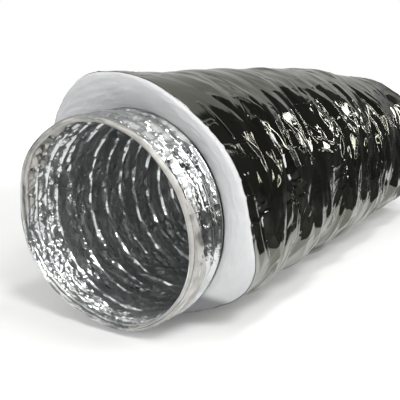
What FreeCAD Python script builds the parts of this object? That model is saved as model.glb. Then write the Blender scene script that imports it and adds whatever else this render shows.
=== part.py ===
"""Insulated flexible air duct, a cut length lying on its underside with the sleeve pulled back from the mouth.

Frame: X runs along the duct, with the open mouth at -X and the cut rear end at +X. Z is up.
The origin is at the bottom centre, on the surface that the jacket rests on. Sizes are in millimetres.
"""

import FreeCAD, Part

import math
import os

import Sketcher

ALONG = FreeCAD.Vector(1, 0, 0)
TURN_TO_X = FreeCAD.Rotation(FreeCAD.Vector(0, 1, 0), 90)
SKETCH_NORMAL = FreeCAD.Vector(0, 0, 1)
QUARTERS = 4
START, END, CENTRE = 1, 2, 3
SAMPLES_PER_TURN = 48

SIZES = {
    # The core: two plies of film with the wire helix between them
    "core_bore": 203.0,
    "film_thickness": 0.4,
    "wire_diameter": 1.2,
    "wire_clearance": 0.1,
    "rib_height": 0.8,
    "rib_crest": 2.0,
    "rib_foot": 7.0,
    "wire_pitch": 27.0,
    "collar_pitch": 13.0,
    "wire_end_margin": 3.0,
    # The sleeve: the insulation blanket and the jacket round it
    "sleeve_clearance": 0.3,
    "insulation_under": 6.5,
    "sleeve_width": 256.0,
    "sleeve_height": 253.0,
    "corner_radius": 95.0,
    "jacket_thickness": 0.4,
    "jacket_clearance": 0.1,
    # Lengths along the duct, from the mouth to the rear end
    "collar_length": 46.0,
    "sleeve_bay": 124.0,
    "bend_bay": 185.0,
    "stretch_bay": 100.0,
}

doc = FreeCAD.newDocument("flexible_air_duct")
sheet = doc.addObject("Spreadsheet::Sheet", "Sizes")
for row, (alias, value) in enumerate(SIZES.items(), start=1):
    sheet.set(f"A{row}", alias)
    sheet.set(f"B{row}", str(value))
    sheet.setAlias(f"B{row}", alias)
doc.recompute()


# Sizes that follow from the driving ones: each is a sum of sheet cells, as {alias: factor}


def plus(*sums):
    """One sum of sheet cells from several."""
    total = {}
    for terms in sums:
        for alias, factor in terms.items():
            total[alias] = total.get(alias, 0.0) + factor
    return {alias: factor for alias, factor in total.items() if factor}


def minus(terms):
    return {alias: -factor for alias, factor in terms.items()}


def expression(terms):
    """The sum as an expression that a property can be bound to."""
    return " + ".join(f"({factor}) * Sizes.{alias}" for alias, factor in terms.items())


def length(terms):
    """The sum's value, for the shapes that are set in code."""
    return sum(factor * float(sheet.get(alias)) for alias, factor in terms.items())


bore_radius = {"core_bore": 0.5}
inner_film_radius = plus(bore_radius, {"film_thickness": 1})
wire_centre_radius = plus(inner_film_radius, {"wire_clearance": 1, "wire_diameter": 0.5})
outer_film_bore = plus(wire_centre_radius, {"wire_diameter": 0.5, "wire_clearance": 1})
valley_radius = plus(outer_film_bore, {"film_thickness": 1})
crest_radius = plus(valley_radius, {"rib_height": 1})
insulation_bore = plus(crest_radius, {"sleeve_clearance": 1})
blanket_inset = {"jacket_thickness": 1, "jacket_clearance": 1}
core_height = plus(blanket_inset, {"insulation_under": 1}, insulation_bore)

# Stations along X
mouth = {"collar_length": -0.5, "sleeve_bay": -0.5, "bend_bay": -1, "stretch_bay": -1}
sleeve_front = plus(mouth, {"collar_length": 1})
sleeve_split = plus(sleeve_front, {"sleeve_bay": 0.5})
bend_up = plus(sleeve_front, {"sleeve_bay": 1, "bend_bay": 0.5})
front_stretch = plus(bend_up, {"bend_bay": 0.5, "stretch_bay": 0.5})
bend_side = plus(front_stretch, {"stretch_bay": 0.5, "bend_bay": 0.5})
rear_stretch = plus(bend_side, {"bend_bay": 0.5, "stretch_bay": 0.5})
rear_end = minus(mouth)

CORE_SECTIONS = {
    "mouth": (mouth, bend_up),
    "fore": (bend_up, front_stretch),
    "middle": (front_stretch, bend_side),
    "aft": (bend_side, rear_stretch),
    "tail": (rear_stretch, rear_end),
}
SLEEVE_SECTIONS = {
    "pull_back": (sleeve_front, sleeve_split),
    "mouth": (sleeve_split, bend_up),
    "fore": (bend_up, front_stretch),
    "middle": (front_stretch, bend_side),
    "aft": (bend_side, rear_stretch),
    "tail": (rear_stretch, rear_end),
}

nodes = []


# Film plies


def cylinder(name, radius, start, end):
    """A round bar along X at the height of the core's axis."""
    bar = doc.addObject("Part::Cylinder", name)
    bar.Placement = FreeCAD.Placement(FreeCAD.Vector(), TURN_TO_X)
    bar.setExpression("Radius", expression(radius))
    bar.setExpression("Height", expression(plus(end, minus(start))))
    bar.setExpression("Placement.Base.x", expression(start))
    bar.setExpression("Placement.Base.z", expression(core_height))
    return bar


def inner_film(section, start, end):
    """The smooth ply that the air runs along."""
    label = f"inner_film_{section}"
    tube = doc.addObject("Part::Cut", label)
    tube.Base = cylinder(f"{label}_outside", inner_film_radius, start, end)
    tube.Tool = cylinder(f"{label}_bore", bore_radius, start, end)
    nodes.append(tube)


def wire_stations():
    """X of each whole turn of the wire: close in the collar, then at its full pitch."""
    collar_pitch = length({"collar_pitch": 1})
    pitch = length({"wire_pitch": 1})
    margin = length({"wire_end_margin": 1})
    last = length(rear_end) - margin
    stations = [length(mouth) + margin]
    while stations[-1] + collar_pitch <= length(sleeve_front):
        stations.append(stations[-1] + collar_pitch)
    whole_turns = int((last - stations[-1]) // pitch)
    loose_pitch = (last - stations[-1]) / whole_turns
    first = stations[-1]
    stations += [first + loose_pitch * (k + 1) for k in range(whole_turns)]
    return stations


def rib_outline(start, end):
    """Points (x, radius) of the outer ply's outside between two stations, four to a rib."""
    foot = length({"rib_foot": 0.5})
    crest = length({"rib_crest": 0.5})
    low = length(valley_radius)
    high = length(crest_radius)
    outline = []
    for x in wire_stations():
        outline += [(x - foot, low), (x - crest, high), (x + crest, high), (x + foot, low)]
    inside = [point for point in outline if start < point[0] < end]
    return [(start, radius_at(outline, start))] + inside + [(end, radius_at(outline, end))]


def radius_at(outline, x):
    """The outline's radius at x, by a straight line between its points."""
    if x <= outline[0][0] or x >= outline[-1][0]:
        return length(valley_radius)
    for (x0, r0), (x1, r1) in zip(outline, outline[1:]):
        if x0 <= x <= x1:
            return r0 + (r1 - r0) * (x - x0) / (x1 - x0)
    return length(valley_radius)


def outer_film(section, start, end):
    """The ply over the wire, with a rib at every turn."""
    axis_height = length(core_height)
    low, high = length(start), length(end)
    circles = []
    for x, radius in rib_outline(low, high):
        edge = Part.makeCircle(radius, FreeCAD.Vector(x, 0, axis_height), ALONG)
        circles.append(Part.Wire(edge))
    ribbed = Part.makeLoft(circles, True, True)
    bore = Part.makeCylinder(length(outer_film_bore), high - low, FreeCAD.Vector(low, 0, axis_height), ALONG)
    tube = doc.addObject("Part::Feature", f"outer_film_{section}")
    tube.Shape = ribbed.cut(bore)
    nodes.append(tube)


# Wire helix


def biarc(start, start_way, end, end_way):
    """Two arcs that join two points and leave each along its direction."""
    gap = end - start
    both = start_way + end_way
    turn = 2 * (1 - start_way.dot(end_way))
    reach = (-gap.dot(both) + math.sqrt(gap.dot(both) ** 2 + turn * gap.dot(gap))) / turn
    first_corner = start + start_way * reach
    last_corner = end - end_way * reach
    joint = (first_corner + last_corner) * 0.5
    return [arc(start, first_corner, joint), arc(joint, last_corner, end)]


def arc(start, corner, end):
    """The arc that is tangent to both legs of a corner with equal legs."""
    into = FreeCAD.Vector(corner - start).normalize()
    out = FreeCAD.Vector(end - corner).normalize()
    weight = math.sqrt((1 + into.dot(out)) / 2)
    middle = (start + corner * (2 * weight) + end) * (1 / (2 + 2 * weight))
    return Part.Arc(start, middle, end).toShape()


def x_of_quarter(stations, quarter):
    """X of the wire a number of quarter turns from its end at the mouth."""
    turn = min(quarter // QUARTERS, len(stations) - 2)
    part = (quarter - turn * QUARTERS) / QUARTERS
    return stations[turn] + (stations[turn + 1] - stations[turn]) * part


def wire_point(stations, quarter):
    """A point of the helix and its direction there, a number of quarter turns from the mouth."""
    radius = length(wire_centre_radius)
    quarter_angle = 2 * math.pi / QUARTERS
    angle = quarter * quarter_angle
    before = max(quarter - 1, 0)
    after = min(quarter + 1, (len(stations) - 1) * QUARTERS)
    rise = (x_of_quarter(stations, after) - x_of_quarter(stations, before)) / (after - before)
    across = radius * math.sin(angle)
    above = radius * math.cos(angle)
    point = FreeCAD.Vector(x_of_quarter(stations, quarter), across, length(core_height) + above)
    way = FreeCAD.Vector(rise, above * quarter_angle, -across * quarter_angle)
    return point, way.normalize()


def wire_helix():
    """One unbroken spring wire from the mouth to the rear end."""
    stations = wire_stations()
    quarters = (len(stations) - 1) * QUARTERS
    frames = [wire_point(stations, quarter) for quarter in range(quarters + 1)]
    edges = []
    for (start, start_way), (end, end_way) in zip(frames, frames[1:]):
        edges += biarc(start, start_way, end, end_way)
    path = Part.Wire(edges)
    radius = length({"wire_diameter": 0.5})
    first_point, first_way = frames[0]
    section = Part.Wire(Part.makeCircle(radius, first_point, first_way))
    wire = doc.addObject("Part::Feature", "wire_helix")
    wire.Shape = path.makePipeShell([section], True, False)
    nodes.append(wire)
    report_wire(path, len(stations) - 1, radius)


def report_wire(path, turns, radius):
    """Prints the helix's length, its volume's match and its least gap to itself."""
    points = path.discretize(Number=SAMPLES_PER_TURN * turns + 1)
    half_turn = SAMPLES_PER_TURN // 2
    least = min(
        point.distanceToPoint(other)
        for i, point in enumerate(points)
        for other in points[i + half_turn : i + 3 * half_turn]
    )
    swept = path.Length * math.pi * radius**2
    print("wire turns", turns, "length", round(path.Length, 1), "mm")
    print("wire volume", round(nodes[-1].Shape.Volume, 1), "against", round(swept, 1), "mm3")
    print("least gap of the wire to itself", round(least - 2 * radius, 2), "mm")


# Insulation blanket and jacket


def sagged_outline(sketch, name, inset):
    """A closed outline: half round over the top, straight sides, rounded corners and a flat foot.

    inset is the sum of cells by which it lies inside the outside of the jacket.
    """
    half_width = plus({"sleeve_width": 0.5}, minus(inset))
    corner = plus({"corner_radius": 1}, minus(inset))
    crown = {"sleeve_height": 1, "sleeve_width": -0.5}
    r, c, z, low = length(half_width), length(corner), length(crown), length(inset)
    flat = r - c

    def arc_of(centre_y, centre_z, radius, from_angle, to_angle):
        circle = Part.Circle(FreeCAD.Vector(centre_y, centre_z, 0), SKETCH_NORMAL, radius)
        return Part.ArcOfCircle(circle, from_angle, to_angle)

    def line(y0, z0, y1, z1):
        return Part.LineSegment(FreeCAD.Vector(y0, z0, 0), FreeCAD.Vector(y1, z1, 0))

    top = sketch.addGeometry(arc_of(0, z, r, 0, math.pi))
    left = sketch.addGeometry(line(-r, z, -r, low + c))
    left_corner = sketch.addGeometry(arc_of(-flat, low + c, c, math.pi, 1.5 * math.pi))
    foot = sketch.addGeometry(line(-flat, low, flat, low))
    right_corner = sketch.addGeometry(arc_of(flat, low + c, c, 1.5 * math.pi, 2 * math.pi))
    right = sketch.addGeometry(line(r, low + c, r, z))
    joints = [
        (top, END, left, START),
        (left, END, left_corner, START),
        (left_corner, END, foot, START),
        (foot, END, right_corner, START),
        (right_corner, END, right, START),
        (right, END, top, START),
    ]
    for joint in joints:
        sketch.addConstraint(Sketcher.Constraint("Tangent", *joint))
    sketch.addConstraint(Sketcher.Constraint("Vertical", left))
    sketch.addConstraint(Sketcher.Constraint("Vertical", right))
    sketch.addConstraint(Sketcher.Constraint("Horizontal", foot))
    sketch.addConstraint(Sketcher.Constraint("PointOnObject", top, CENTRE, -2))
    sketch.addConstraint(Sketcher.Constraint("Equal", left_corner, right_corner))
    bind(sketch, f"{name}_half_width", Sketcher.Constraint("Radius", top, r), half_width)
    bind(sketch, f"{name}_corner", Sketcher.Constraint("Radius", left_corner, c), corner)
    bind(sketch, f"{name}_crown", Sketcher.Constraint("DistanceY", -1, START, top, CENTRE, z), crown)
    if low:
        bottom = Sketcher.Constraint("DistanceY", -1, START, foot, START, low)
        bind(sketch, f"{name}_bottom", bottom, inset)
    else:
        sketch.addConstraint(Sketcher.Constraint("PointOnObject", foot, START, -1))


def round_outline(sketch, name, radius, height):
    """A full circle on the duct's centre plane."""
    r, z = length(radius), length(height)
    ring = sketch.addGeometry(Part.Circle(FreeCAD.Vector(0, z, 0), SKETCH_NORMAL, r))
    sketch.addConstraint(Sketcher.Constraint("PointOnObject", ring, CENTRE, -2))
    bind(sketch, f"{name}_radius", Sketcher.Constraint("Radius", ring, r), radius)
    bind(sketch, f"{name}_height", Sketcher.Constraint("DistanceY", -1, START, ring, CENTRE, z), height)


def bind(sketch, name, constraint, terms):
    """Adds a named dimension to a sketch and ties it to the sheet."""
    index = sketch.addConstraint(constraint)
    sketch.renameConstraint(index, name)
    sketch.setExpression(f"Constraints.{name}", expression(terms))


def section_body(label, start, end):
    """A body with an empty sketch square to the duct at a station, and its pad to another."""
    body = doc.addObject("PartDesign::Body", label)
    plane = next(f for f in body.Origin.OriginFeatures if f.Role == "YZ_Plane")
    sketch = body.newObject("Sketcher::SketchObject", f"{label}_section")
    sketch.AttachmentSupport = [(plane, "")]
    sketch.MapMode = "FlatFace"
    sketch.setExpression("AttachmentOffset.Base.z", expression(start))
    pad = body.newObject("PartDesign::Pad", f"{label}_pad")
    pad.Profile = sketch
    pad.setExpression("Length", expression(plus(end, minus(start))))
    nodes.append(body)
    return sketch


def insulation(section, start, end):
    """The soft blanket: thick over the core, pressed thin under it."""
    sketch = section_body(f"insulation_{section}", start, end)
    sagged_outline(sketch, "outside", blanket_inset)
    round_outline(sketch, "bore", insulation_bore, core_height)


def jacket(section, start, end):
    """The vapour jacket, one film all round the blanket."""
    sketch = section_body(f"jacket_{section}", start, end)
    sagged_outline(sketch, "outside", {})
    sagged_outline(sketch, "inside", {"jacket_thickness": 1})


def check_and_write():
    """Stops on a failed object, then writes one file for each sub-part."""
    doc.recompute()
    for item in doc.Objects:
        if "Invalid" in item.State or "Error" in item.State:
            raise RuntimeError(f"{item.Label} failed: {item.State}")
    for node in nodes:
        if node.Shape.isNull() or not node.Shape.isValid():
            raise RuntimeError(f"{node.Label} has no valid shape")
    os.makedirs("parts", exist_ok=True)
    for node in nodes:
        node.Shape.exportStep(f"parts/{node.Label}.step")
        box = node.Shape.BoundBox
        corners = [round(v, 2) for v in (box.XMin, box.XMax, box.YMin, box.YMax, box.ZMin, box.ZMax)]
        print(node.Label, "solids", len(node.Shape.Solids), "volume", round(node.Shape.Volume), corners)


for name, (start, end) in CORE_SECTIONS.items():
    inner_film(name, start, end)
    outer_film(name, start, end)
wire_helix()
for name, (start, end) in SLEEVE_SECTIONS.items():
    insulation(name, start, end)
    jacket(name, start, end)
check_and_write()
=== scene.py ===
"""Insulated flexible air duct: films, wire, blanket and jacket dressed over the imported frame."""

import math

import bmesh
import bpy
import numpy as np
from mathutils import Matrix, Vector


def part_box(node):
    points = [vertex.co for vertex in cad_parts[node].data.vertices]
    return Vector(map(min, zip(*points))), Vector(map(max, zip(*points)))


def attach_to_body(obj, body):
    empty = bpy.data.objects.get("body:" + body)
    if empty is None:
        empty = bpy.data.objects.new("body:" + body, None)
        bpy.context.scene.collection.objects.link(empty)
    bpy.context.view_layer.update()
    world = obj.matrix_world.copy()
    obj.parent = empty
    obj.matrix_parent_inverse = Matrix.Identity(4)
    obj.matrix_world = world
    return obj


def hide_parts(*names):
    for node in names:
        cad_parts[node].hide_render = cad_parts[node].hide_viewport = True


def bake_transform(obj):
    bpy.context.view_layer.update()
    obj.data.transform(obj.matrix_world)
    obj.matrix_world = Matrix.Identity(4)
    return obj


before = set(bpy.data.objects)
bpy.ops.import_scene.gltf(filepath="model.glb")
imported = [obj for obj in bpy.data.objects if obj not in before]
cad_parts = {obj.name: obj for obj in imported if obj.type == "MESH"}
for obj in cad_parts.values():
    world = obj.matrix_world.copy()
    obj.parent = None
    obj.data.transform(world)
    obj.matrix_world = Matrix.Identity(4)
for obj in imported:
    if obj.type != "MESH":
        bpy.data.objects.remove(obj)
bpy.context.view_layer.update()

MM = 0.001

# Places read from the frame
bore_low, bore_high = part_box("inner_film_middle")
jacket_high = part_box("jacket_middle")[1]
wire_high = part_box("wire_helix")[1]
MOUTH_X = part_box("inner_film_mouth")[0].x
REAR_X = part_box("inner_film_tail")[1].x
SLEEVE_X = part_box("jacket_pull_back")[0].x
AXIS_Z = (bore_low.z + bore_high.z) / 2
PLY_RADIUS = (bore_high.z - bore_low.z) / 2
HALF_WIDTH = jacket_high.y
CROWN_Z = jacket_high.z

# Where each zone of the duct starts along X, and the bodies on both sides of it
BEND_UP_X = -0.200
FRONT_SLIDE_X = -0.015
BEND_SIDE_X = 0.085
REAR_SLIDE_X = 0.270
CORE_ZONES = (
    ("mouth", MOUTH_X, BEND_UP_X, "mouth", None),
    ("bend_up", BEND_UP_X, FRONT_SLIDE_X, "mouth", "fore"),
    ("front_slide", FRONT_SLIDE_X, BEND_SIDE_X, "fore", "middle"),
    ("bend_side", BEND_SIDE_X, REAR_SLIDE_X, "middle", "aft"),
    ("rear_slide", REAR_SLIDE_X, REAR_X, "aft", "tail"),
)
SLEEVE_ZONES = (("front", SLEEVE_X, BEND_UP_X, "sleeve_end", "mouth"),) + CORE_ZONES[1:]

# The wire's turns
WIRE_WIDTH = 1.2 * MM
WIRE_RADIUS = wire_high.z - AXIS_Z - WIRE_WIDTH / 2
COLLAR_PITCH = 13 * MM
END_MARGIN = 3 * MM
COLLAR_TURNS = 3
LONG_TURNS = 25
FIRST_TURN_X = MOUTH_X + END_MARGIN
COLLAR_END_X = FIRST_TURN_X + COLLAR_TURNS * COLLAR_PITCH
LAST_TURN_X = REAR_X - END_MARGIN

# The sleeve's outline and the thickness of its layers
CROWN_CENTRE_Z = 125 * MM
CORNER_RADIUS = 95 * MM
SLEEVE_RADIUS = 128 * MM
FILM = 0.4 * MM
PLY = 0.3 * MM
BLANKET_BORE = 106.2 * MM
BLANKET_LIP = 104.6 * MM

# Rows of points along the duct, one to each step
LIP_STEP = 0.85 * MM
MOUTH_STEP = 1.35 * MM
BEND_UP_STEP = 1.7 * MM
INNER_STEP = 2.4 * MM
COLLAR_STEP = 1.0 * MM
OUTER_STEP = 4 * MM
JACKET_STEP = 2.0 * MM
BLANKET_STEP = 6 * MM

# Columns of points round the duct in each layer
LIP_COLUMNS = 760
MOUTH_COLUMNS = 500
INNER_COLUMNS = 440
OUTER_COLUMNS = 400
HEM_COLUMNS = 640
JACKET_COLUMNS = 480
BLANKET_COLUMNS = 240

# Layers of flat facets: height in mm, cell length in mm, cells round the duct, seed and lean
LIP_CRUMPLE = ((3.4, 10, 56, 21, 0.4), (2.2, 5, 118, 22, -0.5), (1.0, 2.8, 220, 23, 0.0))
CORE_PLEATS = ((3.0, 13, 24, 31, 0.9), (2.0, 7, 60, 32, -0.7), (1.1, 3.8, 130, 33, 0.0))
JACKET_BROAD = ((5.0, 46, 9, 42, 0.6), (3.2, 24, 24, 43, -0.8))
JACKET_SMALL = ((1.4, 11, 46, 44, 0.5),)

# Soft bumps and dents: height in mm, place and half width in degrees round the duct
RIM_DENTS = ((3.5, 38, 26), (-3.0, 112, 45), (2.0, 192, 30), (-4.0, 290, 40))
SLEEVE_EDGE_BUMPS = (
    (3.0, 62, 28),
    (-6.5, 124, 42),
    (6.0, 203, 24),
    (-8.0, 236, 28),
    (-9.0, 28, 38),
    (3.0, 74, 20),
)

# How far the hem reaches in past the rim and back over the collar, in mm, at degrees round the duct
HEM_IN = (
    (0, 8), (12, 16), (50, 15), (70, 8), (92, 6), (100, 13), (115, 13), (125, 4),
    (140, 5), (165, 6), (182, 5), (195, 3), (250, 2), (262, 1), (350, 1), (360, 8),
)
HEM_OUT = (
    (0, 0.8), (150, 0.8), (165, 8), (185, 13), (200, 23),
    (236, 25), (250, 6), (262, 0.8), (360, 0.8),
)
HEM_NOTCHES = (12, 27, 52, 97)

# How far behind the mouth the hem starts to roll over the rim
ROLL_START = 0.8 * MM

# Creases of the jacket, each a run of places: mm along the duct and degrees round it
DRAWN_CREASES = (
    ((-312, 122), (-308, 132), (-305, 141)),
    ((-338, 135), (-317, 134)),
    ((-338, 144), (-315, 145)),
    ((-328, 159), (-309, 158)),
    ((-326, 166), (-305, 167)),
    ((-322, 177), (-300, 178), (-278, 176)),
    ((-236, 160), (-234, 156), (-221, 153), (-196, 151), (-165, 153), (-154, 158), (-153, 163)),
    ((-212, 167), (-185, 169)),
    ((-224, 176), (-204, 177), (-186, 175)),
    ((-118, 157), (-88, 160), (-58, 159)),
    ((-42, 141), (10, 143), (63, 139)),
    ((-101, 167), (-72, 168), (-43, 166)),
    ((-81, 175), (-39, 174)),
    ((-244, 135), (-226, 139), (-207, 138)),
    ((-120, 130), (-90, 132), (-62, 129)),
    ((-37, 122), (15, 119)),
    ((-125, 139), (-106, 149), (-124, 149), (-58, 158)),
    ((12, 150), (-5, 164), (-17, 181)),
)


def smooth_step(value, low, high):
    """0 below low, 1 above high and an even curve between."""
    share = np.clip((value - low) / (high - low), 0, 1)
    return share * share * (3 - 2 * share)


def hashed(i, j, seed):
    """A repeatable number from -1 to 1 for each lattice point."""
    n = (i * 374761393 + j * 668265263 + seed * 362437) & 0xFFFFFFFF
    n = ((n ^ (n >> 13)) * 1274126177) & 0xFFFFFFFF
    n = n ^ (n >> 16)
    return (n & 0xFFFF) / 32767.5 - 1


def lattice(x, turn, length, count, lean, seed):
    """Fractions inside a cell, the numbers at its corners and which way it is split.

    The lattice closes round the duct."""
    across = turn * count + lean * x / length
    along = x / length
    i = np.floor(across).astype(np.int64)
    j = np.floor(along).astype(np.int64)
    steps = ((0, 0), (1, 0), (0, 1), (1, 1))
    corners = [hashed((i + a) % count, j + b, seed) for a, b in steps]
    split = hashed(i % count, j, seed + 77) > 0
    return across - i, along - j, corners, split


def swell(x, turn, length, count, seed, lean=0.0):
    """Smooth random hills, -1 to 1."""
    a, b, (h00, h10, h01, h11), _ = lattice(x, turn, length, count, lean, seed)
    a = a * a * (3 - 2 * a)
    b = b * b * (3 - 2 * b)
    return (h00 * (1 - a) + h10 * a) * (1 - b) + (h01 * (1 - a) + h11 * a) * b


def facets(x, turn, length, count, seed, lean=0.0, warp=0.35):
    """Flat triangles between sharp creases, -1 to 1, as film has once it has been crumpled."""
    warp_x = swell(x, turn, length * 1.9, max(count // 2, 1), seed + 11) * warp * length
    warp_turn = swell(x, turn, length * 1.7, max(count // 2, 1), seed + 12) * warp / count
    cells = lattice(x + warp_x, turn + warp_turn, length, count, lean, seed)
    a, b, (h00, h10, h01, h11), split = cells
    lower = np.where(a + b < 1, h00 + a * (h10 - h00) + b * (h01 - h00),
                     h11 + (1 - a) * (h01 - h11) + (1 - b) * (h10 - h11))
    upper = np.where(a > b, h00 + a * (h10 - h00) + b * (h11 - h10),
                     h00 + b * (h01 - h00) + a * (h11 - h01))
    return np.where(split, lower, upper)


def layered(x, turn, layers, warp=0.35):
    """Several layers of facets, one on the other."""
    return sum(
        height * MM * facets(x, turn, length * MM, count, seed, lean=lean, warp=warp)
        for height, length, count, seed, lean in layers
    )


def ticks(x, turn):
    """Short sharp creases along the duct, at most one to a cell, 1 on the crease and 0 away from it."""
    length = 44 * MM
    count = 34
    half_width = 0.08
    taper = 0.08
    along = x / length
    across = turn * count
    i = np.floor(across).astype(np.int64) % count
    j = np.floor(along).astype(np.int64)
    centre = 0.5 + 0.3 * hashed(i, j, 91)
    slant = 0.3 * hashed(i, j, 92)
    start = 0.3 + 0.25 * hashed(i, j, 93)
    end = start + 0.4 + 0.15 * hashed(i, j, 94)
    a = across - np.floor(across)
    b = along - j
    ridge = np.clip(1 - np.abs(a - centre - slant * (b - 0.5)) / half_width, 0, 1)
    window = np.clip(np.minimum(b - start, end - b) / taper, 0, 1)
    return ridge * window * (hashed(i, j, 95) > 0.1)


def drawn_creases(x, turn):
    """Sharp creases drawn where the photographed film has them, 1 on the crease and 0 away from it."""
    half_width = 2.2 * MM
    degrees = np.where(turn > 0, turn, turn + 1) * 360
    arc = SLEEVE_RADIUS * np.pi / 180
    height = np.zeros(np.broadcast(x, turn).shape)
    for line in DRAWN_CREASES:
        for (x_start, start), (x_end, end) in zip(line, line[1:]):
            run = np.array([(x_end - x_start) * MM, (end - start) * arc])
            length = np.hypot(*run)
            dx = x - x_start * MM
            dy = (degrees - start) * arc
            share = np.clip((dx * run[0] + dy * run[1]) / length ** 2, 0, 1)
            away = np.hypot(dx - share * run[0], dy - share * run[1])
            height = np.maximum(height, np.clip(1 - away / half_width, 0, 1))
    return height


def wire_turns(x):
    """How many turns the wire has made at a place along the duct, counted at the top."""
    before = FIRST_TURN_X - COLLAR_PITCH
    after = LAST_TURN_X + COLLAR_PITCH
    all_turns = COLLAR_TURNS + LONG_TURNS
    return np.interp(x, (before, FIRST_TURN_X, COLLAR_END_X, LAST_TURN_X, after),
                     (-1, 0, COLLAR_TURNS, all_turns, all_turns + 1))


def wire_x(turns):
    """Where along the duct the wire is after that many turns."""
    places = (FIRST_TURN_X, COLLAR_END_X, LAST_TURN_X)
    return np.interp(turns, (0, COLLAR_TURNS, COLLAR_TURNS + LONG_TURNS), places)


def pitch_at(x):
    """The wire's pitch near a place along the duct."""
    long_pitch = (LAST_TURN_X - COLLAR_END_X) / LONG_TURNS
    return np.where(x < COLLAR_END_X, COLLAR_PITCH, long_pitch)


def off_wire(x, turn):
    """Distance along X to the nearest turn of the wire, and its share of the way to the middle."""
    phase = wire_turns(x) - (0.25 - turn) % 1
    away = np.abs(phase - np.round(phase))
    return away * pitch_at(x), away * 2


def lean_core(x, y, z, angle):
    """Tips the open end forward at the top and shifts it a little, as the photographed end hangs."""
    share = smooth_step(-x, -SLEEVE_X, -MOUTH_X)
    x = x + share * (3.8 * MM * np.cos(angle) - 8.6 * MM * np.sin(angle))
    return x, y + share * 5 * MM, z - share * 3 * MM


def around(centre, width, angle):
    """1 at one angle round the duct in degrees, falling to 0 at width degrees from it."""
    away = (np.degrees(angle) - centre + 180) % 360 - 180
    return 1 - smooth_step(np.abs(away), 0, width)


def bumps_round(bumps, angle):
    """The sum of soft bumps and dents round the duct."""
    return sum(height * MM * around(centre, width, angle) for height, centre, width in bumps)


def collar_dent(x, angle):
    """Soft dents and one bulge of the bare collar, with the rim a little out of round."""
    share = 1 - smooth_step(x, MOUTH_X, SLEEVE_X)
    bulge = 4.5 * MM * around(347, 16, angle) * smooth_step(x, MOUTH_X, MOUTH_X + 10 * MM)
    dents = bumps_round(RIM_DENTS, angle) + bulge
    turn = angle / (2 * np.pi) % 1
    return share * (dents + 1.6 * MM * facets(0 * x, turn, 1.0, 17, 84))


def film_relief(x, turn, angle):
    """How far the glued plies swell and crumple away from their mean radius."""
    distance, share = off_wire(x, turn)
    depth = x - MOUTH_X
    near = 1 - smooth_step(depth, 40 * MM, 60 * MM)
    patch = 0.8 + 0.2 * swell(x, turn, 40 * MM, 9, 5)
    crumple = layered(x, turn, LIP_CRUMPLE) * (1 - 0.7 * around(198, 62, angle))
    pleats = layered(x, turn, CORE_PLEATS)
    belly = np.sin(np.pi / 2 * np.clip(share, 0, 1)) ** 2
    slack = (0.6 - 2.2 * near) * MM * belly
    relief = patch * (near * crumple + (1 - near) * pleats) + slack
    off_wire_share = smooth_step(distance, 0.2 * MM, 2.6 * MM)
    relief = relief * off_wire_share * smooth_step(depth, 4 * MM, 12 * MM)
    limit = np.where(relief > 0, 3.2 * MM, 6 * MM)
    return limit * np.tanh(relief / limit) + collar_dent(x, angle)


def inner_ply_radius(x, turn, angle):
    """Inside face of the inner ply, with a thin ridge where it lies over the wire."""
    mean_radius = PLY_RADIUS + 0.9 * MM
    ridge_height = 1.7 * MM
    ridge_width = 1.6 * MM
    distance, _ = off_wire(x, turn)
    ridge = ridge_height * np.exp(-(distance / ridge_width) ** 2)
    return mean_radius - ridge + film_relief(x, turn, angle)


def outer_ply_radius(x, turn, angle):
    """Outside face of the outer ply, with a rounded rib over the wire and folds between on the collar."""
    mean_radius = PLY_RADIUS + 1.6 * MM
    rib_width = 1.9 * MM
    fold_height = 2.4 * MM
    fold_width = 1.3 * MM
    distance, share = off_wire(x, turn)
    bare = 1 - smooth_step(x, SLEEVE_X - 4 * MM, SLEEVE_X + 2 * MM)
    rib_height = (2.6 + 1.0 * bare) * MM
    rib = rib_height * np.exp(-(distance / rib_width) ** 2)
    from_middle = (1 - share) * pitch_at(x) / 2
    fold = fold_height * bare * np.exp(-(from_middle / fold_width) ** 2)
    return mean_radius + rib + fold + film_relief(x, turn, angle)


def sleeve_outline(angle):
    """Radius of the sagged sleeve from the core's axis: round crown, wide corners and flat foot."""
    top = np.linspace(0, np.pi, 181)
    crown_radius = CROWN_Z - CROWN_CENTRE_Z
    crown = np.c_[HALF_WIDTH * np.cos(top), CROWN_CENTRE_Z + crown_radius * np.sin(top)]
    low = np.linspace(np.pi, 1.5 * np.pi, 91)
    left = np.c_[CORNER_RADIUS - HALF_WIDTH + CORNER_RADIUS * np.cos(low),
                 CORNER_RADIUS + CORNER_RADIUS * np.sin(low)]
    right = left[::-1] * (-1, 1)
    points = np.concatenate([crown, left, right])
    at = np.arctan2(points[:, 1] - AXIS_Z, points[:, 0]) % (2 * np.pi)
    order = np.argsort(at)
    radius = np.hypot(points[:, 0], points[:, 1] - AXIS_Z)
    return np.interp(angle % (2 * np.pi), at[order], radius[order], period=2 * np.pi)


def edge_x(angle):
    """The sleeve's front edge: pushed forward at the top and drawn back at the bottom."""
    return SLEEVE_X + 12 * MM + 6 * MM * np.cos(angle) - 28 * MM * np.sin(angle)


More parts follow.
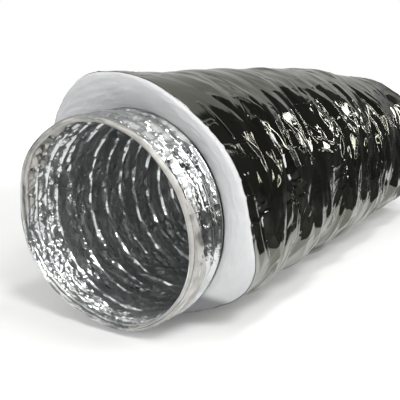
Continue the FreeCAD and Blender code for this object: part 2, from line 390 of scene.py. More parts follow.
def sleeve_swell(x, angle):
    """Slow swellings of the blanket under the jacket, strongest at the front edge."""
    front = 1 - smooth_step(x, SLEEVE_X - 20 * MM, SLEEVE_X + 110 * MM)
    edge = bumps_round(SLEEVE_EDGE_BUMPS, angle)
    crown_span = smooth_step(x, -0.30, -0.10) * (1 - smooth_step(x, 0.10, 0.22))
    top = 4.0 * MM * around(92, 60, angle) * crown_span
    tail_top = -9.0 * MM * around(92, 70, angle) * smooth_step(x, 0.15, 0.36)
    low_span = smooth_step(x, -0.27, -0.2) * (1 - smooth_step(x, -0.07, 0.0))
    low = -5.0 * MM * around(228, 34, angle) * low_span
    low_rear = -3.0 * MM * around(228, 30, angle) * smooth_step(x, 0.08, 0.16)
    return front * edge + top + tail_top + low + low_rear


def jacket_relief(x, turn, angle):
    """Wrinkles of the slack film: broad buckles, small crumples, short ticks and the drawn creases."""
    buckles = layered(x, turn, JACKET_BROAD, warp=0.45)
    small = layered(x, turn, JACKET_SMALL, warp=0.45)
    patch = smooth_step(swell(x, turn, 60 * MM, 10, 45), -0.1, 0.6)
    calm = 1 - 0.6 * (1 - smooth_step(x, SLEEVE_X, SLEEVE_X + 100 * MM))
    crown = 1 - 0.68 * around(90, 62, angle)
    foot = 1 - 0.85 * around(270, 30, angle)
    broad = calm * crown * buckles
    sharp = np.maximum(0.6 * MM * ticks(x, turn), 1.1 * MM * drawn_creases(x, turn))
    return (broad + patch * small * (0.4 + 0.6 * crown)) * foot + sharp


def jacket_radius(x, turn, angle):
    """Outside face of the jacket."""
    radius = sleeve_outline(angle) + sleeve_swell(x, angle) + jacket_relief(x, turn, angle) - 1.2 * MM
    floor_radius = AXIS_Z / np.maximum(-np.sin(angle), 1e-3)
    return np.where(np.sin(angle) < 0, np.minimum(radius, floor_radius), radius)


def blanket_radius(x, turn, angle):
    """Outside face of the blanket, just under the jacket."""
    return jacket_radius(x, turn, angle) - FILM - 0.3 * MM


def columns(count):
    """Turn, 0 to 1, and angle of each column round the duct."""
    turn = np.arange(count) / count
    return turn, turn * 2 * np.pi


def rows(start, end, step):
    """Evenly spaced rows from start to end."""
    return np.linspace(start, end, max(2, int(round((end - start) / step)) + 1))


def place(x, radius, angle, lean=None):
    """Points of a surface given by its radius round the core's axis."""
    y = radius * np.cos(angle)
    z = AXIS_Z + radius * np.sin(angle)
    if lean:
        x, y, z = lean(x, y, z, angle)
    return np.stack([x, y, z], axis=-1)


def grid_quads(row_count, column_count, flip=False, first=0, closed=False):
    """Quads of a grid that closes round its columns, and from its last row to its first where closed."""
    steps = row_count if closed else row_count - 1
    i, j = np.meshgrid(np.arange(steps), np.arange(column_count), indexing="ij")
    next_i = (i + 1) % row_count
    next_j = (j + 1) % column_count
    corners = [i * column_count + j, i * column_count + next_j,
               next_i * column_count + next_j, next_i * column_count + j]
    quads = np.stack(corners, axis=-1).reshape(-1, 4)
    return (quads[:, ::-1] if flip else quads) + first


def grid_normals(points):
    """Normals of a closed grid, the same on both sides of a cut when the rows past the cut are given."""
    along = np.gradient(points, axis=0)
    across = np.roll(points, -1, axis=1) - np.roll(points, 1, axis=1)
    normal = np.cross(across, along)
    return normal / np.maximum(np.linalg.norm(normal, axis=-1, keepdims=True), 1e-12)


def make_object(name, points, quads, material, normals=None, smooth=True):
    """A mesh object with its rest place kept on each point for the materials."""
    mesh = bpy.data.meshes.new(name)
    points = np.ascontiguousarray(points, dtype=np.float32).reshape(-1, 3)
    quads = np.ascontiguousarray(quads, dtype=np.int32)
    mesh.vertices.add(len(points))
    mesh.vertices.foreach_set("co", points.ravel())
    mesh.loops.add(quads.size)
    mesh.loops.foreach_set("vertex_index", quads.ravel())
    mesh.polygons.add(len(quads))
    mesh.polygons.foreach_set("loop_start", np.arange(len(quads), dtype=np.int32) * quads.shape[1])
    mesh.update(calc_edges=True)
    mesh.polygons.foreach_set("use_smooth", np.full(len(quads), smooth))
    rest = mesh.attributes.new("rest_place", "FLOAT_VECTOR", "POINT")
    rest.data.foreach_set("vector", points.ravel())
    if normals is not None:
        mesh.normals_split_custom_set_from_vertices(normals.reshape(-1, 3).tolist())
    mesh.materials.append(material)
    piece = bpy.data.objects.new(name, mesh)
    bpy.context.scene.collection.objects.link(piece)
    return piece


def film_shell(name, x, count, radius, thickness, material, lean=None, outward=True, crisp=False):
    """A thin closed film. x holds its rows, with one spare row past each end for the normals.

    A crisp film is shaded flat, so that its creases stay sharp."""
    turn, angle = columns(count)
    x = x[:, None] if x.ndim == 1 else x
    x = np.broadcast_to(x, (x.shape[0], count))
    turn = np.broadcast_to(turn, x.shape)
    angle = np.broadcast_to(angle, x.shape)
    face = radius(x, turn, angle)
    other = face - thickness if outward else face + thickness
    shown = place(x, face, angle, lean)
    hidden = place(x, other, angle, lean)
    normal = grid_normals(shown)[1:-1]
    if not outward:
        normal = -normal
    shown = shown[1:-1]
    hidden = hidden[1:-1]
    row_count = shown.shape[0]
    half = row_count * count
    quads = [grid_quads(row_count, count, flip=not outward),
             grid_quads(row_count, count, flip=outward, first=half)]
    j = np.arange(count)
    k = (j + 1) % count
    last = (row_count - 1) * count
    front = np.stack([k, j, j + half, k + half], axis=-1)
    rear = np.stack([last + j, last + k, last + k + half, last + j + half], axis=-1)
    quads += [front if outward else front[:, ::-1], rear if outward else rear[:, ::-1]]
    points = np.concatenate([shown.reshape(-1, 3), hidden.reshape(-1, 3)])
    normals = None if crisp else np.concatenate([normal.reshape(-1, 3), -normal.reshape(-1, 3)])
    return make_object(name, points, np.concatenate(quads), material, normals, smooth=not crisp)


def with_spares(x):
    """Rows with one more past each end."""
    return np.concatenate([[2 * x[0] - x[1]], x, [2 * x[-1] - x[-2]]])


def attach(piece, body_a, body_b):
    """Rides on one body. A piece between two is only baked in place, not attached."""
    if body_b is None:
        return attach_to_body(piece, body_a)
    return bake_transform(piece)


def new_material(name):
    """An empty node material with its Principled shader."""
    material = bpy.data.materials.new(name)
    material.use_nodes = True
    nodes = material.node_tree.nodes
    shader = nodes["Principled BSDF"]
    return material, nodes, material.node_tree.links, shader


def rest_place(nodes):
    """The point's place at rest, so that a texture stays on the film as it moves."""
    node = nodes.new("ShaderNodeAttribute")
    node.attribute_name = "rest_place"
    return node.outputs["Vector"]


def noise(nodes, links, place_socket, scale, detail=4.0, roughness=0.55, distortion=0.0):
    """Noise over the rest place, scale in cells per metre."""
    node = nodes.new("ShaderNodeTexNoise")
    node.inputs["Scale"].default_value = scale
    node.inputs["Detail"].default_value = detail
    node.inputs["Roughness"].default_value = roughness
    node.inputs["Distortion"].default_value = distortion
    links.new(place_socket, node.inputs["Vector"])
    return node.outputs["Fac"]


def ramp(nodes, links, factor, stops):
    """A colour ramp with stops of (position, colour)."""
    node = nodes.new("ShaderNodeValToRGB")
    elements = node.color_ramp.elements
    while len(elements) < len(stops):
        elements.new(0.5)
    for element, (position, colour) in zip(elements, stops):
        element.position = position
        element.color = (*colour, 1.0)
    links.new(factor, node.inputs["Fac"])
    return node.outputs["Color"]


def between(nodes, links, factor, low, high, first=0.0, last=1.0, soft=False):
    """Maps a factor running from first to last to numbers from low to high."""
    node = nodes.new("ShaderNodeMapRange")
    node.interpolation_type = "SMOOTHSTEP" if soft else "LINEAR"
    node.inputs["From Min"].default_value = first
    node.inputs["From Max"].default_value = last
    node.inputs["To Min"].default_value = low
    node.inputs["To Max"].default_value = high
    links.new(factor, node.inputs["Value"])
    return node.outputs["Result"]


def combined(nodes, links, operation, first, second):
    """One number made from two."""
    node = nodes.new("ShaderNodeMath")
    node.operation = operation
    links.new(first, node.inputs[0])
    links.new(second, node.inputs[1])
    return node.outputs[0]


def bump(nodes, links, shader, height, strength, distance):
    """Fine relief from a height."""
    node = nodes.new("ShaderNodeBump")
    node.inputs["Strength"].default_value = strength
    node.inputs["Distance"].default_value = distance
    links.new(height, node.inputs["Height"])
    links.new(node.outputs["Normal"], shader.inputs["Normal"])


def crumple_height(nodes, links, at, scale):
    """Flat-sided pits and peaks, scale in cells per metre."""
    wander = nodes.new("ShaderNodeTexNoise")
    wander.inputs["Scale"].default_value = scale * 0.6
    links.new(at, wander.inputs["Vector"])
    shifted = nodes.new("ShaderNodeVectorMath")
    shifted.operation = "MULTIPLY_ADD"
    links.new(wander.outputs["Color"], shifted.inputs[0])
    shifted.inputs[1].default_value = (0.8 / scale, 0.8 / scale, 0.8 / scale)
    links.new(at, shifted.inputs[2])
    cells = nodes.new("ShaderNodeTexVoronoi")
    cells.distance = "MANHATTAN"
    cells.inputs["Scale"].default_value = scale
    links.new(shifted.outputs[0], cells.inputs["Vector"])
    return cells.outputs["Distance"]


def foil_material(name, metallic, dark, pale):
    """Bright crumpled foil laminate, nearly a mirror, glossier and less creased away from the mouth."""
    material, nodes, links, shader = new_material(name)
    at = rest_place(nodes)
    shader.inputs["Metallic"].default_value = metallic
    cloud = noise(nodes, links, at, 30, detail=5)
    links.new(ramp(nodes, links, cloud, ((0.35, dark), (0.68, pale))),
              shader.inputs["Base Color"])
    wear = noise(nodes, links, at, 55, detail=6, roughness=0.65)
    scuffed = between(nodes, links, wear, 0.13, 0.25)
    coarse = crumple_height(nodes, links, at, 140)
    fine = crumple_height(nodes, links, at, 330)
    both = nodes.new("ShaderNodeMath")
    both.operation = "MULTIPLY_ADD"
    links.new(fine, both.inputs[0])
    both.inputs[1].default_value = 0.3
    links.new(coarse, both.inputs[2])
    split = nodes.new("ShaderNodeSeparateXYZ")
    links.new(at, split.inputs[0])
    depth = between(nodes, links, split.outputs["X"], 1.0, 0.4, SLEEVE_X - 10 * MM, SLEEVE_X + 30 * MM)
    links.new(combined(nodes, links, "MULTIPLY", scuffed, depth), shader.inputs["Roughness"])
    height = combined(nodes, links, "MULTIPLY", both.outputs[0], depth)
    bump(nodes, links, shader, height, 0.25, 1.0 * MM)
    return material


def hem_material():
    """The film's dull backing where it is turned in over the rim, with brighter patches."""
    material, nodes, links, shader = new_material("hem_film")
    at = rest_place(nodes)
    patches = noise(nodes, links, at, 35, detail=3)
    dull_and_bright = ((0.50, (0.2, 0.2, 0.2)), (0.60, (0.95, 0.95, 0.95)))
    links.new(ramp(nodes, links, patches, dull_and_bright), shader.inputs["Metallic"])
    cloud = noise(nodes, links, at, 60, detail=5)
    links.new(ramp(nodes, links, cloud, ((0.3, (0.35, 0.34, 0.32)), (0.7, (0.54, 0.525, 0.50)))),
              shader.inputs["Base Color"])
    wear = noise(nodes, links, at, 90, detail=6, roughness=0.65)
    links.new(between(nodes, links, wear, 0.30, 0.50), shader.inputs["Roughness"])
    fine = noise(nodes, links, at, 240, detail=3, distortion=0.6)
    bump(nodes, links, shader, fine, 0.4, 0.6 * MM)
    return material


def jacket_material():
    """Smoky metallised film: a dark mirror with an olive tinge, with hair-fine creases round the duct."""
    material, nodes, links, shader = new_material("jacket_film")
    at = rest_place(nodes)
    shader.inputs["Metallic"].default_value = 1.0
    cloud = noise(nodes, links, at, 9, detail=5)
    links.new(ramp(nodes, links, cloud, ((0.3, (0.11, 0.11, 0.09)), (0.7, (0.15, 0.153, 0.128)))),
              shader.inputs["Base Color"])
    wear = noise(nodes, links, at, 55, detail=6, roughness=0.65)
    links.new(between(nodes, links, wear, 0.02, 0.08), shader.inputs["Roughness"])
    stretch = nodes.new("ShaderNodeVectorMath")
    stretch.operation = "MULTIPLY"
    stretch.inputs[1].default_value = (1.0, 0.22, 0.22)
    links.new(at, stretch.inputs[0])
    fine = noise(nodes, links, stretch.outputs[0], 330, detail=4, roughness=0.6, distortion=0.4)
    bump(nodes, links, shader, fine, 0.2, 0.35 * MM)
    return material


def blanket_material():
    """Matted white fibre with a soft mottle, greyed by a point attribute: painted shade under the cut
    end, and smudges.
    """
    material, nodes, links, shader = new_material("blanket_fibre")
    at = rest_place(nodes)
    mottle = noise(nodes, links, at, 45, detail=6, roughness=0.6)
    whites = ((0.3, (0.67, 0.675, 0.685)), (0.7, (0.735, 0.74, 0.75)))
    tint = ramp(nodes, links, mottle, whites)
    shade_and_smudge = nodes.new("ShaderNodeAttribute")
    shade_and_smudge.attribute_name = "shade_and_smudge"
    shade_and_smudge_mix = nodes.new("ShaderNodeMix")
    shade_and_smudge_mix.data_type = "RGBA"
    links.new(shade_and_smudge.outputs["Fac"], shade_and_smudge_mix.inputs["Factor"])
    links.new(tint, shade_and_smudge_mix.inputs["A"])
    # Dark grey mixed in by the attribute: painted shade on the underside of the cut end, and the smudges'
    # own colour.
    shade_and_smudge_mix.inputs["B"].default_value = (0.17, 0.175, 0.19, 1)
    links.new(shade_and_smudge_mix.outputs["Result"], shader.inputs["Base Color"])
    shader.inputs["Roughness"].default_value = 1.0
    shader.inputs["Specular IOR Level"].default_value = 0.1
    shader.inputs["Sheen Weight"].default_value = 0.25
    fibre = noise(nodes, links, at, 700, detail=6, roughness=0.75, distortion=1.2)
    bump(nodes, links, shader, fibre, 0.9, 1.8 * MM)
    return material


def wire_material():
    """Drawn spring steel with a faint grain."""
    material, nodes, links, shader = new_material("spring_steel")
    at = rest_place(nodes)
    grain = noise(nodes, links, at, 700, detail=3)
    links.new(ramp(nodes, links, grain, ((0.3, (0.32, 0.32, 0.33)), (0.7, (0.5, 0.5, 0.5)))),
              shader.inputs["Base Color"])
    shader.inputs["Metallic"].default_value = 1.0
    links.new(between(nodes, links, grain, 0.25, 0.4), shader.inputs["Roughness"])
    return material


def floor_material():
    """Pale floor that keeps its shadow. Away from the duct the camera and the mirrors see it whiter."""
    material, nodes, links, shader = new_material("pale_floor")
    shader.inputs["Base Color"].default_value = (0.86, 0.86, 0.85, 1)
    shader.inputs["Roughness"].default_value = 0.9
    path = nodes.new("ShaderNodeLightPath")
    seen = combined(nodes, links, "MAXIMUM", path.outputs["Is Camera Ray"], path.outputs["Is Glossy Ray"])
    at = nodes.new("ShaderNodeNewGeometry")
    away = nodes.new("ShaderNodeVectorMath")
    away.operation = "LENGTH"
    links.new(at.outputs["Position"], away.inputs[0])
    lift = between(nodes, links, away.outputs["Value"], 0.14, 0.9, 0.3, 1.6, soft=True)
    shader.inputs["Emission Color"].default_value = (1, 1, 1, 1)
    links.new(combined(nodes, links, "MULTIPLY", seen, lift), shader.inputs["Emission Strength"])
    return material


def core_rows(zone, start, end):
    """Rows of the inner ply: finest at the mouth, where the light catches each crease."""
    if zone == "mouth":
        return rows(SLEEVE_X - 1.5 * MM, end, MOUTH_STEP)
    return rows(start, end, BEND_UP_STEP if zone == "bend_up" else INNER_STEP)


def collar_rows(zone, start, end):
    """Rows of the outer ply: fine on the bare collar and coarse under the blanket."""
    if zone == "mouth":
        bare = SLEEVE_X + 12 * MM
        return np.concatenate([rows(MOUTH_X, bare, COLLAR_STEP), rows(bare, end, OUTER_STEP)[1:]])
    return rows(start, end, OUTER_STEP)


def build_plies(foil, foil_outside):
    """Both plies of the core, zone by zone."""
    for zone, start, end, body_a, body_b in CORE_ZONES:
        count = MOUTH_COLUMNS if zone == "mouth" else INNER_COLUMNS
        inner = film_shell("inner_ply_" + zone, with_spares(core_rows(zone, start, end)), count,
                           inner_ply_radius, PLY, foil, lean_core, outward=False, crisp=True)
        outer = film_shell("outer_ply_" + zone, with_spares(collar_rows(zone, start, end)), OUTER_COLUMNS,
                           outer_ply_radius, PLY, foil_outside, lean_core)
        for piece in (inner, outer):
            attach(piece, body_a, body_b)


def build_lip(foil):
    """The hard-creased lip of the inner ply, fine enough for its creases, over the start of the rest."""
    def lip_radius(x, turn, angle):
        return inner_ply_radius(x, turn, angle) - 0.1 * MM
    lip_rows = with_spares(rows(MOUTH_X, SLEEVE_X, LIP_STEP))
    lip = film_shell("inner_ply_lip", lip_rows, LIP_COLUMNS, lip_radius, PLY, foil, lean_core,
                     outward=False, crisp=True)
    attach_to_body(lip, "mouth")


def hem_width(turn, angle):
    """How far the hem reaches in past the rim: ragged, with a few deep notches."""
    degrees = np.degrees(angle)
    width = MM * np.interp(degrees, *zip(*HEM_IN))
    uneven = 1 + 0.3 * swell(0 * angle, turn, 1.0, 13, 81) + 0.25 * facets(0 * angle, turn, 1.0, 64, 82)
    width = width * uneven
    notches = sum(around(centre, 3.6, angle) for centre in HEM_NOTCHES)
    return width * (1 - 0.75 * np.minimum(notches, 1)) + 1.2 * MM


def hem_over_collar(turn, angle):
    """Rows of the hem from its edge on the collar to the rim, each an x and a radius."""
    width = MM * np.interp(np.degrees(angle), *zip(*HEM_OUT))
    shown = []
    for share in np.linspace(0, 1, 9):
        x = MOUTH_X + width * (1 - share) + ROLL_START * share
        wrinkle = 0.5 * MM * facets(x, turn, 7 * MM, 60, 88, lean=1.5)
        over_ribs = PLY_RADIUS + 4.5 * MM + collar_dent(x, angle)
        close = outer_ply_radius(x, turn, angle) + 0.35 * MM
        strip = smooth_step(x - MOUTH_X, 1 * MM, 9 * MM) * smooth_step(width, 2 * MM, 8 * MM)
        raised = (np.maximum(close, over_ribs) - close) * strip
        tucked = 0.2 * MM * (share < 0.01)
        shown.append((x, close + raised + wrinkle - tucked))
    return shown


def hem_round_rim(middle, half, crumpled, turn, angle):
    """Rows of the hem rolled over the rim, more ragged where it is crumpled.

    Middle and half are the mean radius and half thickness of the rim."""
    ragged = 0.7 * MM * swell(0 * angle, turn, 1.0, 24, 85)
    ragged = ragged + 0.5 * MM * facets(0 * angle, turn, 1.0, 70, 86)
    ragged = ragged + crumpled * (1.8 * MM * facets(0 * angle, turn, 1.0, 46, 87))
    shown = []
    for roll in np.radians((30, 60, 90, 120, 150)):
        x = MOUTH_X + ROLL_START - (half * 0.6 + ragged) * np.sin(roll)
        shown.append((x, middle + half * np.cos(roll)))
    return shown


def hem_in_bore(turn, angle):
    """Rows of the hem from the rim to its edge inside the bore, which curls up in one place."""
    width = hem_width(turn, angle)
    curled = 2.5 * MM * around(150, 14, angle)
    shown = []
    for share in np.linspace(0, 1, 10):
        x = MOUTH_X + ROLL_START + (width - ROLL_START) * share
        wrinkle = 0.7 * MM * facets(x, turn, 6 * MM, 70, 89, lean=0.7) * share
        lift = 0.5 * MM + (0.9 * MM + curled) * share
        shown.append((x, inner_ply_radius(x, turn, angle) - lift - wrinkle))
    return shown


def loop_arrays(loop, count):
    """The x and the radius of every point of a loop of rows."""
    x = np.stack([np.broadcast_to(row_x, count) for row_x, _ in loop])
    return x, np.stack([row_radius for _, row_radius in loop])


def build_hem(film, foil):
    """The strip of film turned in over the rim, and the crumpled edge where none is turned in."""
    thickness = 0.25 * MM
    turn, angle = columns(HEM_COLUMNS)
    degrees = np.degrees(angle)
    crumpled = smooth_step(degrees, 250, 262) * (1 - smooth_step(degrees, 352, 360))
    over = hem_over_collar(turn, angle)
    outer_radius = over[-1][1]
    inner_radius = inner_ply_radius(MOUTH_X + ROLL_START + 0 * angle, turn, angle) - 0.15 * MM
    middle = (outer_radius + inner_radius) / 2
    half = (outer_radius - inner_radius) / 2
    rolled = hem_round_rim(middle, half, crumpled, turn, angle)
    inside = hem_in_bore(turn, angle)
    hidden = [(x, radius - thickness) for x, radius in over]
    hidden += [(x + thickness, middle + (radius - middle) * 0.8) for x, radius in rolled]
    hidden += [(x, radius + thickness) for x, radius in inside]
    loop = over + rolled + inside + hidden[::-1]
    x, radius = loop_arrays(loop, HEM_COLUMNS)
    points = place(x, radius, np.broadcast_to(angle, x.shape), lean_core)
    quads = grid_quads(len(loop), HEM_COLUMNS, flip=True, closed=True)
    hem = make_object("rim_hem", points, quads, film, smooth=False)
    hem.data.materials.append(foil)
    finish = np.tile((crumpled > 0.5).astype(np.int32), len(loop))
    hem.data.polygons.foreach_set("material_index", finish)
    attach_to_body(hem, "mouth")


def wire_piece(name, first_turn, last_turn, material):
    """The stretch of the spring wire between two counts of turns, as a closed tube."""
    sides = 8
    steps_per_turn = 110
    steps = max(8, int((last_turn - first_turn) * steps_per_turn))
    turns = np.linspace(first_turn, last_turn, steps + 1)
    angle = np.pi / 2 - turns * 2 * np.pi
    ring = np.arange(sides) / sides * 2 * np.pi
    x = wire_x(turns)[:, None] + WIRE_WIDTH / 2 * np.sin(ring)[None, :]
    angles = np.broadcast_to(angle[:, None], x.shape)
    radius = WIRE_RADIUS + collar_dent(x, angles) + WIRE_WIDTH / 2 * np.cos(ring)[None, :]
    points = place(x, radius, angles, lean_core).reshape(-1, 3)
    quads = grid_quads(steps + 1, sides)
    piece = make_object(name, points, quads, material)
    close_ends(piece)
    return piece


def close_ends(piece):
    """Fills the open ends of a tube."""
    mesh = bmesh.new()
    mesh.from_mesh(piece.data)
    open_edges = [edge for edge in mesh.edges if edge.is_boundary]
    bmesh.ops.holes_fill(mesh, edges=open_edges, sides=0)
    bmesh.ops.recalc_face_normals(mesh, faces=mesh.faces)
    mesh.to_mesh(piece.data)
    mesh.free()


def build_wire(steel):
    """The spring wire in the core, cut where the zones meet."""
    for zone, start, end, body_a, body_b in CORE_ZONES:
        first = max(0.0, float(wire_turns(start)))
        last = min(float(COLLAR_TURNS + LONG_TURNS), float(wire_turns(end)))
        piece = wire_piece("wire_" + zone, first, last, steel)
        attach(piece, body_a, body_b)


def blanket_face(outer_x, outer_radius, bore_x, turn, angle, front):
    """Rows down the blanket's end, flat at a joint, and domed and fluffy at the cut front."""
    bore_radius = BLANKET_LIP if front else BLANKET_BORE
    face = []
    for share in np.linspace(0, 1, 26)[1:-1]:
        radius = outer_radius + (bore_radius - outer_radius) * share
        x = outer_x + (bore_x - outer_x) * share
        if front:
            dome = 6 * MM * np.sin(np.pi * share ** 0.8) ** 0.4
            coarse = 0.4 * MM * swell(radius * 3, turn, 12 * MM, 46, 61)
            fine = 0.4 * MM * swell(radius * 3, turn, 5 * MM, 120, 62)
            x = x - dome * (1 - 0.6 * around(255, 60, angle)) + (coarse + fine)
        face.append((x, radius))
    return face


def blanket_loop(x_front, x_rear, turn, angle, front):
    """Rows of the blanket's section: forward outside, down the front, back along the bore and up."""
    count = len(angle)
    outer_rows = max(3, int((x_rear - np.mean(x_front)) / BLANKET_STEP))
    outer_x = [x_rear + (x_front - x_rear) * share for share in np.linspace(0, 1, outer_rows)]
    outer_x = [np.broadcast_to(x, count) for x in outer_x]
    outside = [(x, blanket_radius(x, turn, angle)) for x in outer_x]
    bore_x = np.full(count, SLEEVE_X) if front else np.broadcast_to(x_front, count)
    face = blanket_face(*outside[-1], bore_x, turn, angle, front)
    bore_places = (bore_x + 8 * MM, bore_x * 0.5 + x_rear * 0.5, np.full(count, x_rear))
    bore = [(x, np.full(count, BLANKET_BORE)) for x in bore_places]
    if front:
        bore = [(bore_x, np.full(count, BLANKET_LIP))] + bore
    height = outside[0][1] - BLANKET_BORE
    rear = [(np.full(count, x_rear), BLANKET_BORE + height * share) for share in (0.33, 0.67)]
    return outside + face + bore + rear


def shade_and_smudge_amount(x, radius, angle):
    """0 to 1: painted shade greying the underside of the cut end, and the smudges where hands have held
    it.
    """
    angle = np.broadcast_to(angle, x.shape)
    turn = angle / (2 * np.pi)
    cut_end = 1 - smooth_step(x, SLEEVE_X + 25 * MM, SLEEVE_X + 60 * MM)
    degrees = np.degrees(angle)
    # Painted shade: the underside of the cut end is greyed as if in the shadow of the collar above it.
    under = smooth_step(degrees, 216, 223) * (1 - smooth_step(degrees, 300, 330))
    rim = smooth_step(radius, 122 * MM, 130 * MM) * (1 - smooth_step(degrees, 226, 236))
    under = under * (1 - rim)
    marks = smooth_step(swell(radius, turn, 5 * MM, 70, 63), 0.1, 0.8)
    smudge = 0.55 * around(141, 13, angle) * marks * (1 - smooth_step(radius, 112 * MM, 122 * MM))
    return cut_end * np.maximum(0.85 * under, smudge)


def build_blanket(fibre):
    """The blanket, zone by zone."""
    count = BLANKET_COLUMNS
    turn, angle = columns(count)
    for zone, start, end, body_a, body_b in SLEEVE_ZONES:
        front = zone == "front"
        x_front = edge_x(angle) + 1.5 * MM if front else start
        loop = blanket_loop(x_front, end, turn, angle, front)
        x, radius = loop_arrays(loop, count)
        points = place(x, radius, np.broadcast_to(angle, x.shape))
        quads = grid_quads(len(loop), count, flip=True, closed=True)
        piece = make_object("blanket_" + zone, points, quads, fibre)
        # Painted shade under the cut end and real smudges, kept on each point for the material.
        shade_and_smudge = piece.data.attributes.new("shade_and_smudge", "FLOAT", "POINT")
        shade_and_smudge.data.foreach_set("value", shade_and_smudge_amount(x, radius, angle).astype(np.float32).ravel())
        if front:
            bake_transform(piece)
        else:
            attach(piece, body_a, body_b)


def build_jacket(film):
    """The jacket, zone by zone, with its wandering front edge."""
    turn, angle = columns(JACKET_COLUMNS)
    coarse = 0.8 * MM * swell(0 * angle, turn, 1.0, 40, 71)
    fine = 0.5 * MM * swell(0 * angle, turn, 1.0, 150, 72)
    edge = edge_x(angle) + 2.5 * MM + (coarse + fine)
    for zone, start, end, body_a, body_b in SLEEVE_ZONES:
        if zone == "front":
            share = np.linspace(0, 1, 90)[:, None]
            x = edge + (end - edge) * share
            x = np.concatenate([2 * x[:1] - x[1:2], x, x[-1:] + JACKET_STEP])
        else:
            x = with_spares(rows(start, end, JACKET_STEP))
        piece = film_shell("jacket_" + zone, x, JACKET_COLUMNS, jacket_radius, FILM, film)
        if zone == "front":
            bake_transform(piece)
        else:
            attach(piece, body_a, body_b)


def stand_for_nodes():
    """Hides the CAD nodes that each run of pieces stands for."""
    plies = {"inner_ply": "inner_film", "outer_ply": "outer_film"}
    sleeve = {"blanket": "insulation", "jacket": "jacket"}
    sections = ("mouth", "fore", "middle", "aft", "tail")
    zones = [zone for zone, *_ in CORE_ZONES]
    for piece_name, node_name in plies.items():
        for zone, section in zip(zones, sections):
            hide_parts(f"{node_name}_{section}")
    for piece_name, node_name in sleeve.items():
        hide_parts(node_name + "_pull_back", node_name + "_mouth")
        for zone, section in zip(zones[1:], sections[1:]):
            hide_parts(f"{node_name}_{section}")
    for zone in zones:
        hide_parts("wire_helix")


def softbox(name, at, aim, width, height, watts):
    """A rectangular soft light."""
    light = bpy.data.lights.new(name, "AREA")
    light.shape = "RECTANGLE"
    light.size = width
    light.size_y = height
    light.energy = watts
    lamp = bpy.data.objects.new(name, light)
    lamp.location = at
    lamp.rotation_mode = "QUATERNION"
    lamp.rotation_quaternion = (Vector(aim) - Vector(at)).to_track_quat("-Z", "Y")
    bpy.context.scene.collection.objects.link(lamp)


def cloth_material(name, level):
    """Cloth of one tone that only mirrors see."""
    material, _, _, shader = new_material(name)
    shader.inputs["Base Color"].default_value = (0, 0, 0, 1)
    shader.inputs["Emission Color"].default_value = (1, 1, 0.96, 1)
    shader.inputs["Emission Strength"].default_value = level
    material.cycles.emission_sampling = "NONE"
    return material


def screen(name, points, quads, level):
    """A screen that the films mirror, and that neither the camera nor the shadows see."""
    piece = make_object(name, points, quads, cloth_material(name, level))
    piece.visible_camera = False
    piece.visible_diffuse = False
    piece.visible_transmission = False
    piece.visible_shadow = False


def wall_points(radius, first, last, height):
    """Foot and head of a curved wall between two bearings in degrees."""
    posts = 16
    bearing = np.radians(np.linspace(first, last, posts))
    foot = np.stack([radius * np.cos(bearing), radius * np.sin(bearing), 0 * bearing], axis=-1)
    head = foot + (0, 0, height)
    k = np.arange(posts - 1)
    quads = np.stack([k, k + 1, k + 1 + posts, k + posts], axis=-1)
    return np.concatenate([foot, head]), quads


def level_rectangle(left, right, near, far, height):
    """Corners of a level rectangle, anticlockwise from above."""
    return [(left, near, height), (right, near, height), (right, far, height), (left, far, height)]


def build_screens():
    """What the films mirror: a dark room with bright strips, a grey backdrop and a dark floor cloth.

    Each card is a bearing and half width in degrees, and the heights of its foot and head."""
    radius = 1.35
    dark = 0.045
    grey = 0.5
    bright = 1.2
    card = 14.0
    cards = ((-139, 1.0, 0.3, 0.9), (-100, 0.8, 0.2, 0.7), (-52, 0.8, 0.2, 0.6), (-22, 1.0, 0.3, 0.8))
    points, quads = wall_points(radius, -150, -6, 2.0)
    screen("dark_screen", points, quads, dark)
    for number, (bearing, width, low, high) in enumerate(cards):
        points, quads = wall_points(radius - 0.02, bearing - width, bearing + width, high - low)
        screen(f"bright_card_{number}", points + np.array((0, 0, low)), quads, card)
    points, quads = wall_points(radius, -6, 150, 1.6)
    screen("grey_backdrop", points, quads, grey)
    points, quads = wall_points(radius, 150, 210, 1.2)
    screen("bright_front", points, quads, bright)
    ceiling = level_rectangle(-radius, radius, -radius, radius, 2.1)
    screen("grey_ceiling", np.array(ceiling), np.array([[0, 3, 2, 1]]), grey)
    lift = 2 * MM
    table = level_rectangle(-0.85, 0.8, -0.228, 0.6, lift)
    room = level_rectangle(-radius, radius, -radius, radius, lift)
    sides = np.array([[0, 1, 5, 4], [1, 2, 6, 5], [2, 3, 7, 6], [3, 0, 4, 7]])
    screen("dark_floor_cloth", np.array(table + room), sides, dark)
    panel = [(0.40, -0.14, 0), (0.40, 0.14, 0), (0.40, 0.14, 0.25), (0.40, -0.14, 0.25)]
    screen("dark_rear_panel", np.array(panel), np.array([[0, 1, 2, 3]]), 0.2)


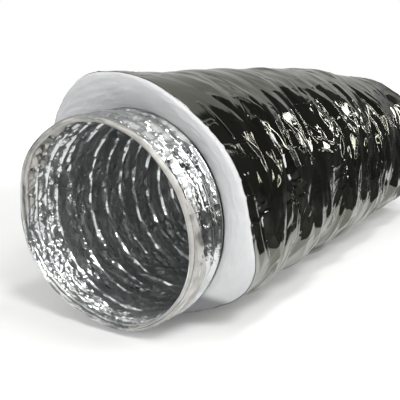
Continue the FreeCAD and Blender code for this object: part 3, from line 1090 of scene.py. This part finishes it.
def build_studio():
    """Floor, lights and a pale world, white where the camera or a mirror sees it."""
    size = 12.0
    corners = level_rectangle(-size, size, -size, size, 0)
    floor = make_object("floor", np.array(corners), np.array([[0, 1, 2, 3]]), floor_material())
    softbox("key_light", (-0.80, -0.75, 0.95), (-0.2, 0, 0.1), 0.30, 0.30, 8)
    softbox("top_light", (-0.15, -0.45, 1.45), (0.0, 0, 0.1), 0.5, 0.2, 6)
    softbox("side_strip", (0.25, -0.95, 0.55), (-0.1, 0, 0.12), 0.10, 0.5, 3)
    softbox("front_strip", (-1.20, -0.05, 0.40), (-0.3, 0, 0.11), 0.6, 0.08, 2)
    world = bpy.data.worlds.new("studio")
    bpy.context.scene.world = world
    world.use_nodes = True
    nodes = world.node_tree.nodes
    links = world.node_tree.links
    background = nodes["Background"]
    path = nodes.new("ShaderNodeLightPath")
    seen = combined(nodes, links, "MAXIMUM", path.outputs["Is Camera Ray"], path.outputs["Is Glossy Ray"])
    seen = combined(nodes, links, "MAXIMUM", seen, path.outputs["Is Transmission Ray"])
    background.inputs["Color"].default_value = (1, 1, 1, 1)
    links.new(between(nodes, links, seen, 0.55, 1.0), background.inputs["Strength"])


def build_camera():
    """The camera, at the photograph's place and field of view."""
    photo_width = 400
    focal_pixels = 639.3
    yaw = math.radians(30.73)
    pitch = math.radians(11.35)
    data = bpy.data.cameras.new("camera")
    data.sensor_width = 36.0
    data.lens = focal_pixels / photo_width * data.sensor_width
    camera = bpy.data.objects.new("camera", data)
    camera.location = (-0.8228, -0.3748, 0.2522)
    forward = Vector((math.cos(yaw) * math.cos(pitch), math.sin(yaw) * math.cos(pitch), -math.sin(pitch)))
    camera.rotation_mode = "QUATERNION"
    camera.rotation_quaternion = forward.to_track_quat("-Z", "Y")
    bpy.context.scene.collection.objects.link(camera)
    bpy.context.scene.camera = camera


build_camera()
build_studio()
build_screens()
foil = foil_material("foil_inside", 0.86, (0.48, 0.50, 0.51), (0.70, 0.705, 0.70))
foil_outside = foil_material("foil_outside", 1.0, (0.42, 0.435, 0.45), (0.66, 0.665, 0.66))
jacket_film = jacket_material()
build_plies(foil, foil_outside)
build_lip(foil)
build_hem(hem_material(), foil)
build_wire(wire_material())
build_blanket(blanket_material())
build_jacket(jacket_film)
stand_for_nodes()

bpy.context.scene.view_settings.view_transform = "Standard"
